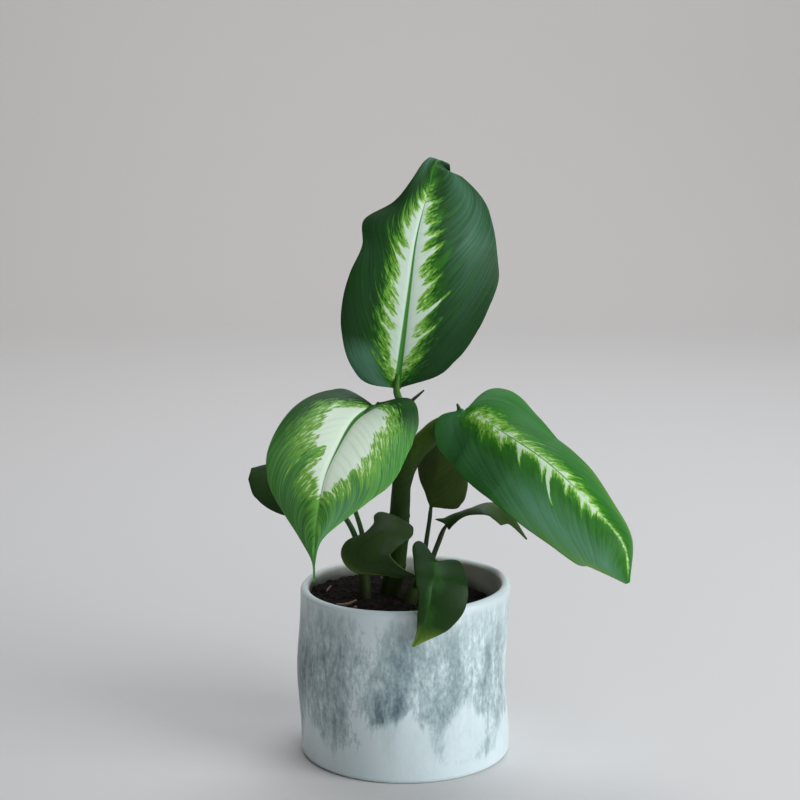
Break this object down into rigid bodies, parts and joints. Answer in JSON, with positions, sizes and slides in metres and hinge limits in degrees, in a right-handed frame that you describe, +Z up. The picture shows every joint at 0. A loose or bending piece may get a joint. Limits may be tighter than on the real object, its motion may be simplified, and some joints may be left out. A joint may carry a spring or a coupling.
{
  "type": "potted dieffenbachia",
  "caption": "Young dieffenbachia with large white-veined leaves and small plain ones, on a bent cane with side shoots, in a round straight-sided glazed ceramic pot of dark soil.",
  "frame": {"origin": "centre of the pot's flat bottom", "axes": "+Z up along the plant, -Y towards the side the picture shows, +X to the right in it"},
  "size_m": [0.2156, 0.1467, 0.3407],
  "materials": {
    "glazed_pot": "glossy off-white glaze with grey-blue vertical streaks",
    "soil": "dark crumbly potting soil with a few pale bits",
    "cane": "grey-brown below, green above, with faint leaf scars",
    "shoot": "smooth pale olive green",
    "variegated_leaf": "semi-gloss green with a jagged white band along the midrib",
    "plain_leaf": "semi-gloss plain dark green"
  },
  "bodies": {
    "root": {"pot": "glazed_pot", "soil": "soil", "main_cane": "cane", "left_shoot": "shoot", "right_shoot": "shoot", "right_leaf": "variegated_leaf", "left_leaf": "variegated_leaf", "top_leaf": "variegated_leaf", "behind_left_leaf": "plain_leaf", "hidden_left_leaf": "plain_leaf", "behind_centre_leaf": "plain_leaf", "behind_right_leaf": "plain_leaf", "low_left_leaf": "plain_leaf", "low_front_leaf": "plain_leaf"}
  },
  "joints": []
}
